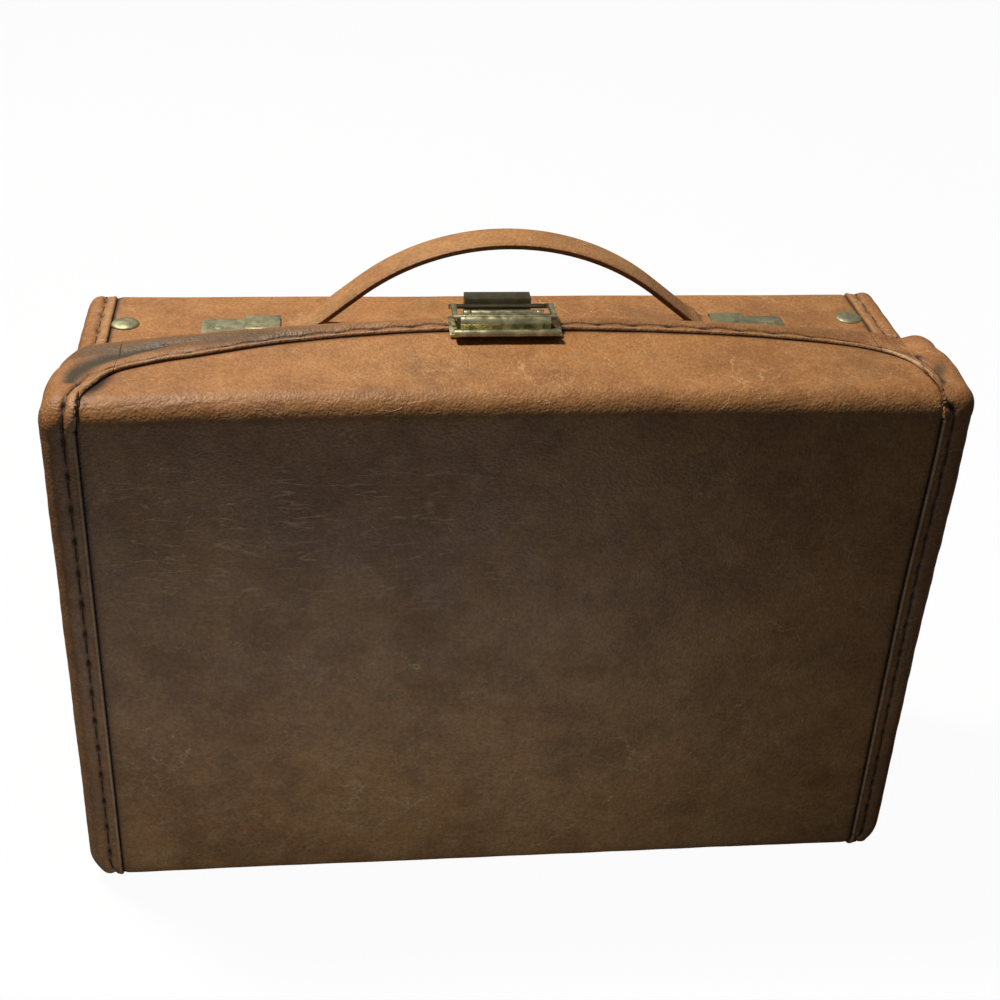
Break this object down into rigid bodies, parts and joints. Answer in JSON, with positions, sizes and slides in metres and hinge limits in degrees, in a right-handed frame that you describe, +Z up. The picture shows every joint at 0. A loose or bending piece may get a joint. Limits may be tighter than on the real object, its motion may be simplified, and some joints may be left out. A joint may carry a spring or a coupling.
{
  "type": "cassette tape case",
  "caption": "Upright leather-covered carrying case for boxed cassette tapes, its front lid hinged at the underside, with a draw latch and a strap handle.",
  "frame": {"origin": "middle of the footprint, on the surface that the closed case stands on", "axes": "+X across the front to the right, +Y from the lid in front to the body behind, +Z up"},
  "size_m": [0.4, 0.132, 0.304],
  "materials": {
    "leather": "satin",
    "leather_band": "satin",
    "strap_leather": "satin",
    "board": "matt",
    "tongue_board": "matt",
    "frame_board": "matt",
    "lining": "matt",
    "tray_plastic": "matt",
    "hinge_steel": "satin",
    "brass": "satin"
  },
  "bodies": {
    "body": {"body_board": "board", "body_wrap_cover": "leather", "body_end_cover_left": "leather_band", "body_end_cover_right": "leather_band", "body_tongue": "tongue_board", "body_hinge_leaf": "hinge_steel", "body_hinge_screws": "hinge_steel", "tape_tray_panel": "tray_plastic", "tape_tray_rails": "tray_plastic", "tape_tray_ribs_upper": "tray_plastic", "tape_tray_ribs_lower": "tray_plastic", "tray_rivets": "brass", "handle_bracket_left": "brass", "handle_bracket_right": "brass", "bracket_rivets": "brass", "latch_keeper": "brass", "keeper_rivets": "brass"},
    "lid": {"lid_board": "board", "lid_wrap_cover": "leather", "lid_rim_binding": "leather_band", "lid_end_cover_left": "leather_band", "lid_end_cover_right": "leather_band", "lid_liner": "lining", "lid_rim_frame": "frame_board", "lid_hinge_leaf": "hinge_steel", "lid_hinge_screws": "hinge_steel", "hinge_pin": "hinge_steel", "latch_plate": "brass", "lever_pin": "brass"},
    "latch_lever": {"latch_lever": "brass"},
    "latch_bail": {"latch_bail": "brass"},
    "handle": {"handle_strap": "strap_leather"}
  },
  "joints": [
    {"name": "lid_hinge", "type": "hinge", "parent": "body", "child": "lid", "pos_m": [0, -0.003, 0.0024], "axis": [1, 0, 0], "range_deg": [0, 100]},
    {"name": "latch_lever_pivot", "type": "hinge", "parent": "lid", "child": "latch_lever", "pos_m": [-0.0015, -0.006, 0.27802], "axis": [-1, 0, 0], "range_deg": [0, 100]},
    {"name": "latch_bail_pivot", "type": "hinge", "parent": "latch_lever", "child": "latch_bail", "pos_m": [-0.0015, -0.0125, 0.27953], "axis": [-1, 0, 0], "range_deg": [-125, 0]},
    {"name": "handle_slide", "type": "slide", "parent": "body", "child": "handle", "axis": [1, 0, 0], "range_m": [-0.003, 0.003]}
  ],
  "couplings": [
    {"joint": "latch_bail_pivot", "follows": "latch_lever_pivot", "ratio": -1.25}
  ]
}
